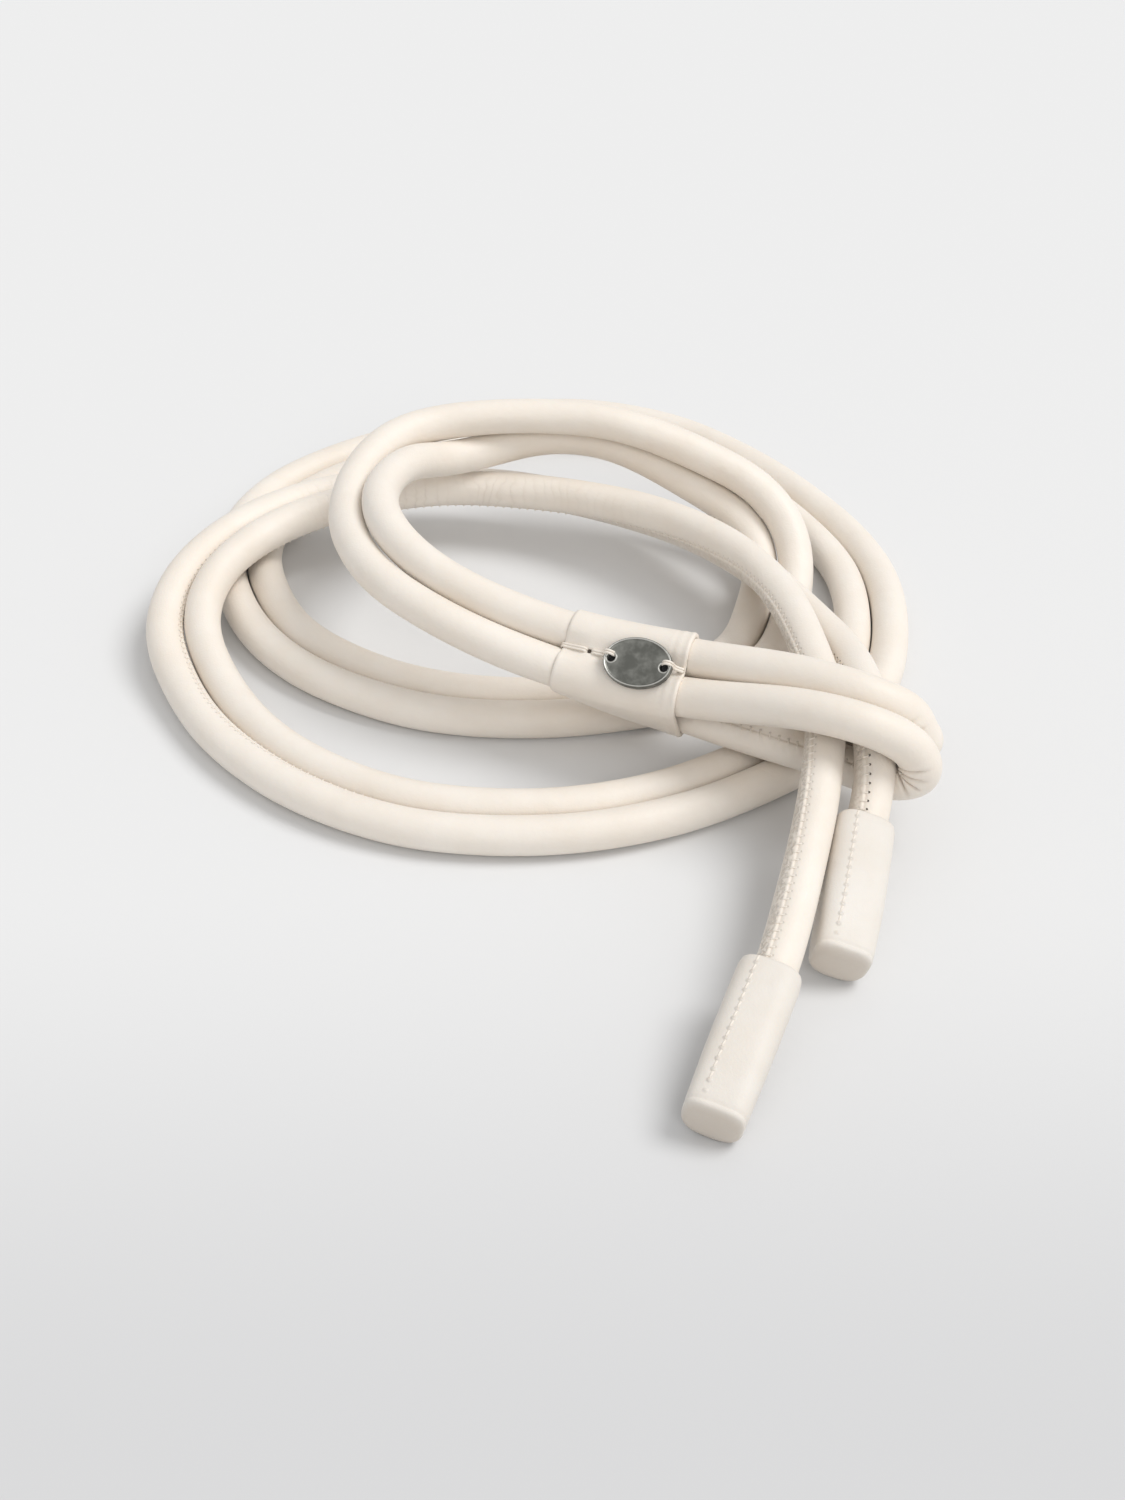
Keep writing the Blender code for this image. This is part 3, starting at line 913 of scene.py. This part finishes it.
class Tip:
    """A tip's place and axes, and the points on its surface."""

    def __init__(self, tail, roll):
        end = shifted([tail[-1]])[0]
        before = shifted([tail[-2]])[0]
        self.direction = unit(end - before)
        self.start = end - self.direction * (TIP_CAVITY_DEPTH - CLEARANCE)
        flat = unit(np.cross(self.direction, (0.0, 0.0, 1.0)))
        turned = math.radians(roll)
        self.side = math.cos(turned) * flat + math.sin(turned) * np.cross(flat, self.direction)
        self.up = np.cross(self.side, self.direction)
        self.table = np.array(TIP_SECTIONS)

    def section(self, share):
        return [np.interp(share, self.table[:, 0], self.table[:, k]) for k in range(1, 4)]

    def point(self, share, angle, inset=0.0):
        width, height, squareness = self.section(share)
        cosine = math.cos(angle)
        sine = math.sin(angle)
        power = 2 / (squareness if sine > 0 else squareness - UNDERSIDE_ROUNDER)
        x = math.copysign(abs(cosine) ** power, cosine) * (width / 2 - inset)
        z = math.copysign(abs(sine) ** power, sine) * (height / 2 - inset)
        lift = (height - TIP_FULL_HEIGHT) / 2
        centre = self.start + self.direction * share * TIP_LENGTH
        return centre + (x + TIP_OFFSET) * self.side + (z + lift) * self.up


def tip_mesh(name, tip, material):
    """One tip: the socket's mouth, the outside, closer rings at the pressed end, and the end face."""
    angles = [2 * math.pi * k / TIP_ANGLES for k in range(TIP_ANGLES)]
    radius = STRAND_RADIUS + SOCKET_GAP
    points = []
    for depth in SOCKET_DEPTHS:
        for angle in angles:
            out = math.cos(angle) * tip.side + math.sin(angle) * tip.up
            points.append(tip.start + depth * tip.direction + radius * out)
    for share in TIP_RING_SHARES:
        points.extend(tip.point(share, angle) for angle in angles)
    for inset, out in TIP_END_RINGS:
        points.extend(tip.point(1.0, angle, inset) + out * tip.direction for angle in angles)
    last = len(points) - TIP_ANGLES
    faces = grid_faces(len(points) // TIP_ANGLES, TIP_ANGLES)
    faces.append(tuple(range(last, last + TIP_ANGLES)))
    made = add_mesh(name, points, faces, material)
    # The map gives millimetres along the tip and off the row of stitches.
    coordinates = []
    for point in points:
        off = point - tip.start
        beside = OFF_THE_ROW
        if off.dot(tip.up) > 1.0:
            beside = off.dot(tip.side) - TIP_OFFSET - TIP_STITCH_OFFSET
        coordinates.append((off.dot(tip.direction), beside))
    corners = np.zeros(len(made.data.loops), dtype=np.int32)
    made.data.loops.foreach_get("vertex_index", corners)
    flat = np.array(coordinates)[corners]
    made.data.uv_layers.new(name="run").data.foreach_set("uv", flat.reshape(-1))
    return made


def tip_stitches(name, tip, material):
    """The row of stitches along the tip's top, nearer its left side."""
    paths = []
    count = int(TIP_LENGTH * TIP_STITCHED / TIP_STITCH_PITCH)
    for k in range(count):
        middle = (TIP_STITCH_START + k * TIP_STITCH_PITCH) / TIP_LENGTH
        path = []
        for along, lift in TIP_STITCH:
            share = middle + along / TIP_LENGTH
            width, _, squareness = tip.section(share)
            cosine = (TIP_STITCH_OFFSET / (width / 2)) ** (squareness / 2)
            place = tip.point(share, math.acos(cosine))
            path.append(place + lift * tip.up + TIP_STITCH_SLANT * along * tip.side)
        paths.append(path)
    return threads(name, paths, TIP_THREAD, material)


class Shader:
    """A material being put together: most methods add a node and give its output."""

    def __init__(self, name):
        self.material = bpy.data.materials.new(name)
        self.material.use_nodes = True
        self.tree = self.material.node_tree
        self.body = self.tree.nodes["Principled BSDF"]

    def put(self, socket, value):
        if isinstance(value, bpy.types.NodeSocket):
            self.tree.links.new(value, socket)
        else:
            socket.default_value = value

    def set(self, name, value):
        self.put(self.body.inputs[name], value)

    def add(self, kind, **inputs):
        """A new node with these inputs set: an underscore in a name stands for a space."""
        node = self.tree.nodes.new("ShaderNode" + kind)
        for name, value in inputs.items():
            self.put(node.inputs[name.replace("_", " ")], value)
        return node

    def math(self, operation, *values, clamp=False):
        node = self.add("Math")
        node.operation = operation
        node.use_clamp = clamp
        for k, value in enumerate(values):
            self.put(node.inputs[k], value)
        return node.outputs[0]

    def times(self, first, second):
        return self.math("MULTIPLY", first, second)

    def window(self, value, low, high):
        """0 below low, 1 above high and smooth between."""
        node = self.add("MapRange", Value=value, From_Min=low, From_Max=high)
        node.interpolation_type = "SMOOTHSTEP"
        return node.outputs["Result"]

    def place(self):
        return self.add("TexCoord").outputs["Object"]

    def noise(self, scale, detail=2.0, roughness=0.5):
        shape = {"Scale": scale, "Detail": detail, "Roughness": roughness}
        return self.add("TexNoise", Vector=self.place(), **shape).outputs["Fac"]

    def cells(self, scale):
        return self.add("TexVoronoi", Vector=self.place(), Scale=scale).outputs["Distance"]

    def attribute(self, name):
        node = self.add("Attribute")
        node.attribute_name = name
        return node.outputs["Fac"]

    def first_two(self, vector):
        split = self.add("SeparateXYZ", Vector=vector)
        return split.outputs[0], split.outputs[1]

    def run_and_off(self):
        """Millimetres along a strand or tip, and off its seam or row of stitches."""
        node = self.add("UVMap")
        node.uv_map = "run"
        return self.first_two(node.outputs[0])

    def mix(self, share, first, second):
        node = self.add("Mix")
        node.data_type = "RGBA"
        self.put(node.inputs["Factor"], share)
        for socket, value in ((node.inputs[6], first), (node.inputs[7], second)):
            self.put(socket, (*value, 1.0) if isinstance(value, tuple) else value)
        return node.outputs[2]

    def bump(self, height, distance, strength=1.0, before=None):
        node = self.add("Bump", Height=height, Distance=distance, Strength=strength)
        if before is not None:
            self.put(node.inputs["Normal"], before)
        return node.outputs["Normal"]


def leather(name, sewn="", tone=(1.0, 1.0, 1.0)):
    """Smooth off-white leather: faint mottling, fine grain, and the marks of how it is sewn, with
    painted shade in holes, creases, wrinkles and tip dimples and on the tips' ends.
    """
    shader = Shader(name)
    mottle = shader.window(shader.noise(95.0, 3.0, 0.6), 0.3, 0.72)
    cloudy = shader.window(shader.noise(22.0, 2.0), 0.35, 0.7)
    share = shader.math("MULTIPLY_ADD", mottle, 0.35, shader.times(cloudy, 0.3))
    light, deep = (tuple(np.multiply(tone, tint)) for tint in (LEATHER_LIGHT, LEATHER_DEEP))
    colour = shader.mix(share, light, deep)
    pores = shader.times(shader.noise(5200.0, 2.0), 0.6)
    grain = shader.math("ADD", shader.cells(2300.0), pores)
    soft = shader.noise(330.0, 3.0, 0.6)
    normal = shader.bump(soft, 0.00035, 0.35)
    normal = shader.bump(grain, 0.00004, 0.55, normal)
    if sewn == "strand":
        colour, normal = strand_marks(shader, colour, normal)
    elif sewn == "tip":
        colour, normal = tip_marks(shader, colour, normal)
    else:
        # The keeper's thread hole is painted nearly black, as painted shade inside it.
        pierced = shader.window(shader.attribute("pierced"), 0.25, 0.8)
        colour = shader.mix(pierced, colour, HOLE_SHADE_COLOUR)
    shader.set("Base Color", colour)
    shader.set("Normal", normal)
    shader.set("Roughness", shader.math("MULTIPLY_ADD", soft, 0.16, 0.42))
    shader.set("Specular IOR Level", 0.42)
    shader.set("Sheen Weight", 0.08)
    shader.set("Subsurface Weight", 0.06)
    shader.set("Subsurface Radius", (0.0012, 0.0008, 0.0005))
    return shader.material


def dots(shader, run, off, pitch, phase, beside, small, large):
    """Soft round spots in a row beside a seam: 1 in their middles, 0 outside.

    phase is a spot's place within each pitch, and small and large are its inner and outer radius.
    """
    step = shader.math("DIVIDE", run, pitch)
    along = shader.times(shader.math("SUBTRACT", shader.math("FRACT", step), phase), pitch)
    aside = shader.math("ADD", off, beside)
    away = shader.math("ADD", shader.math("POWER", along, 2.0), shader.math("POWER", aside, 2.0))
    return shader.math("SUBTRACT", 1.0, shader.window(shader.math("SQRT", away), small, large))


def strand_marks(shader, colour, normal):
    """Stitch holes with painted shade in them, puckers between stitches, a rough lapped side, and
    wrinkles and creases with painted shade in their valleys.
    """
    run, off = shader.run_and_off()
    hole = dots(shader, run, off, STITCH_PITCH, 0.42, 0.72, 0.16, 0.36)
    pierced = shader.times(hole, shader.attribute("pierced"))
    wave = shader.math("COSINE", shader.times(run, 2 * math.pi / STITCH_PITCH))
    near = shader.window(shader.math("ABSOLUTE", shader.math("SUBTRACT", off, 1.3)), 1.9, 0.4)
    pucker = shader.times(wave, near)
    warp = shader.times(shader.noise(120.0, 2.0), 3.2)
    phase = shader.math("ADD", shader.math("DIVIDE", run, FOLD_SPACING), warp)
    fold = shader.math("ABSOLUTE", shader.math("SINE", shader.times(phase, math.pi)))
    fold = shader.math("POWER", shader.math("SUBTRACT", 1.0, fold), 2.0)
    patches = shader.window(shader.noise(60.0, 1.0), 0.3, 0.55)
    folded = shader.times(fold, shader.attribute("wrinkled"))
    folded = shader.times(folded, patches)
    grit = shader.window(shader.noise(1100.0, 3.0, 0.6), 0.42, 0.62)
    rough = shader.times(grit, shader.attribute("rough"))
    height = shader.times(pucker, 0.06)
    for marks, depth in ((folded, 0.08), (rough, 0.2), (pierced, 0.5)):
        height = shader.math("SUBTRACT", height, shader.times(marks, depth))
    normal = shader.bump(height, 0.001, 1.0, normal)
    # The stitch holes are painted nearly black, as painted shade inside them.
    colour = shader.mix(shader.times(pierced, 0.9), colour, HOLE_SHADE_COLOUR)
    # Darker along the seam line and on the rough lapped side, and painted shade in the valleys of
    # wrinkles and creases.
    dark = shader.math("SUBTRACT", 1.0, shader.window(shader.math("ABSOLUTE", off), 0.06, 0.26))
    dark = shader.times(dark, 0.18)
    for marks, depth in ((folded, 0.12), (rough, 0.32), (shader.attribute("crease_shade"), 0.6)):
        dark = shader.math("ADD", dark, shader.times(marks, depth))
    return shader.mix(shader.math("MULTIPLY", dark, 1.0, clamp=True), colour, CREASE_SHADE_AND_TONE), normal


def tip_marks(shader, colour, normal):
    """Soft dimples between the stitches of a tip, with painted shade in them, and painted shade on
    its end.
    """
    run, off = shader.run_and_off()
    start = shader.math("SUBTRACT", run, TIP_STITCH_START)
    dimple = dots(shader, start, off, TIP_STITCH_PITCH, 0.5, 0.0, 0.1, 0.75)
    end = shader.window(run, TIP_LENGTH * (TIP_STITCHED + 0.03), TIP_LENGTH * TIP_STITCHED)
    dimple = shader.times(dimple, end)
    normal = shader.bump(shader.times(dimple, -0.22), 0.001, 1.0, normal)
    # The dimples are painted darker as well as bumped: painted shade.
    colour = shader.mix(shader.times(dimple, 0.16), colour, CREASE_SHADE_AND_TONE)
    # The tip's end is painted darker: painted shade.
    end_shade = shader.window(run, TIP_LENGTH - 0.8, TIP_LENGTH + 0.2)
    return shader.mix(shader.times(end_shade, 0.4), colour, CREASE_SHADE_AND_TONE), normal


def thread_material():
    shader = Shader("waxed_thread")
    twist = shader.noise(2600.0, 2.0)
    shader.set("Base Color", shader.mix(twist, THREAD_COLOUR, LEATHER_DEEP))
    shader.set("Roughness", 0.55)
    shader.set("Normal", shader.bump(twist, 0.00008, 0.6))
    return shader.material


def pewter():
    """Aged pewter: dark in the recess, with its rim and hole collars worn bright, and painted shade
    that darkens its side wall and blackens its holes.
    """
    shader = Shader("aged_pewter")
    wear_and_shade = shader.attribute("wear_and_shade")
    cast = shader.noise(900.0, 4.0, 0.65)
    stain = shader.window(shader.noise(240.0, 3.0, 0.6), 0.35, 0.65)
    dark = shader.mix(stain, PEWTER_DARK, PEWTER_STAINED)
    rim = shader.window(shader.math("MULTIPLY_ADD", cast, 0.35, wear_and_shade), 0.45, 0.95)
    colour = shader.mix(rim, dark, PEWTER_WORN)
    # Below 0 the value is painted shade: black in the holes, darker on the side wall.
    painted_shade = shader.window(wear_and_shade, -0.1, -0.9)
    shader.set("Base Color", shader.mix(painted_shade, colour, PAINTED_SHADE_BLACK))
    shader.set("Metallic", shader.math("SUBTRACT", 0.9, shader.times(painted_shade, 0.9)))
    shader.set("Roughness", shader.math("MULTIPLY_ADD", rim, -0.14, 0.46))
    shader.set("Normal", shader.bump(cast, 0.0001, 0.8))
    return shader.material


def floor_and_light():
    shader = Shader("pale_floor")
    _, forward = shader.first_two(shader.place())
    # Painted shade: the floor's colour darkens towards the camera.
    far = shader.window(forward, FLOOR_DARKEST, FLOOR_DARK_FROM)
    shader.set("Base Color", shader.mix(far, FLOOR_NEAR, FLOOR_FAR))
    shader.set("Roughness", 0.9)
    shader.set("Specular IOR Level", 0.1)
    corners = [(x * FLOOR_HALF_WIDTH, y * FLOOR_HALF_WIDTH, 0) for x, y in FLOOR_CORNERS]
    floor = add_mesh("floor", corners, [(0, 1, 2, 3)], shader.material, False)
    world = bpy.data.worlds.new("studio")
    world.use_nodes = True
    background = world.node_tree.nodes["Background"]
    background.inputs["Color"].default_value = (1.0, 1.0, 1.0, 1.0)
    background.inputs["Strength"].default_value = WORLD_STRENGTH
    bpy.context.scene.world = world
    for name, towards, strength in LAMPS:
        lamp = bpy.data.lights.new(name, "SUN")
        lamp.angle = math.radians(LAMP_ANGLE)
        lamp.energy = strength
        made = bpy.data.objects.new(name, lamp)
        direction = Vector(towards).normalized()
        made.location = direction
        made.rotation_euler = direction.to_track_quat("Z", "Y").to_euler()
        bpy.context.scene.collection.objects.link(made)


def camera():
    lens = bpy.data.cameras.new("camera")
    lens.sensor_fit = "VERTICAL"
    lens.sensor_height = FRAME_HEIGHT
    lens.lens = CAMERA_LENS
    lens.clip_start = 0.01
    lens.clip_end = 50.0
    made = bpy.data.objects.new("camera", lens)
    made.location = Vector(CAMERA_PLACE) * MM
    made.rotation_euler = (math.radians(CAMERA_TILT), 0.0, 0.0)
    bpy.context.scene.collection.objects.link(made)
    bpy.context.scene.camera = made


def stand_for(piece, node):
    """Ties a piece to the body, and hides the solid that it replaces, if any."""
    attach(piece, "root")
    if node:
        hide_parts(node)


def main():
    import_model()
    bpy.context.scene.view_settings.view_transform = "Standard"
    camera()

    left = Strand(strand_route(-1, LEFT_TAIL), LEFT_SEAM)
    right = Strand(strand_route(1, RIGHT_TAIL), RIGHT_SEAM)
    cord_leather = leather("strand_leather", "strand")
    keeper_leather = leather("keeper_leather")
    tip_leather = leather("tip_leather", "tip", TIP_TONE)
    thread = thread_material()
    metal = pewter()

    for name, strand, tail, sewn in (
        ("left", left, LEFT_TAIL, LEFT_SEWN),
        ("right", right, RIGHT_TAIL, RIGHT_SEWN),
    ):
        tip = Tip(tail, TIP_ROLLS[name + "_tip"])
        tip_piece = tip_mesh(name + "_tip_leather", tip, tip_leather)
        stand_for(tip_piece, name + "_tip")
        stand_for(tip_stitches(name + "_tip_stitches", tip, thread), None)
        skin = skin_mesh(name + "_strand_leather", strand, sewn, cord_leather)
        stand_for(skin, name + "_strand")
        stand_for(seam_stitches(name + "_seam_stitches", strand, thread), None)

    keeper = Keeper(left, right)
    stand_for(keeper_mesh(keeper, keeper_leather), "keeper")
    stand_for(badge_mesh(keeper, metal), "badge")
    stand_for(badge_threads(keeper, thread), None)
    floor_and_light()


main()
